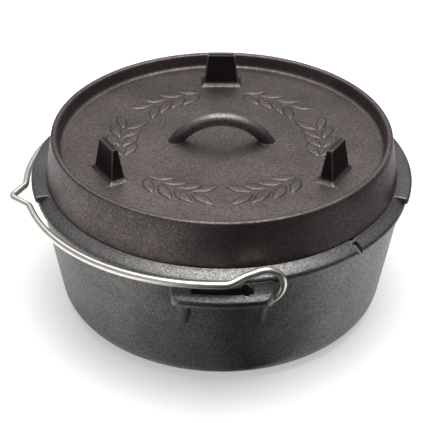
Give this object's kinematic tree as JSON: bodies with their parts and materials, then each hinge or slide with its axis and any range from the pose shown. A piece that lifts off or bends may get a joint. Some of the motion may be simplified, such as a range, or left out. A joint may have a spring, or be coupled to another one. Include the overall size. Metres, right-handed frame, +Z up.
{
  "type": "camp dutch oven",
  "caption": "Flat-bottomed cast-iron camp oven with a coal-tray lid on short feet, side ears and a wire bail that hooks into lugs and swings over the lid.",
  "frame": {"origin": "on the pot's axis, at the underside that the oven stands on", "axes": "+Z up along the pot's axis, the front lug towards -Y, the lifting ears towards +X and -X"},
  "size_m": [0.2818, 0.284, 0.144],
  "materials": {
    "pot_iron": "seasoned, dark satin with a fine cast grain",
    "lid_iron": "seasoned, dark brown-black satin with a fine cast grain",
    "bail_steel": "bright drawn wire"
  },
  "bodies": {
    "pot": {"pot": "pot_iron"},
    "lid": {"lid": "lid_iron"},
    "bail": {"bail": "bail_steel"}
  },
  "joints": [
    {"name": "lid_lift", "type": "slide", "parent": "pot", "child": "lid", "axis": [0, 0, 1], "range_m": [0, 0.15]},
    {"name": "bail_swing", "type": "hinge", "parent": "pot", "child": "bail", "pos_m": [0, 0, 0.0924], "axis": [-0.1969, 0.9804, 0], "range_deg": [0, 180]}
  ]
}
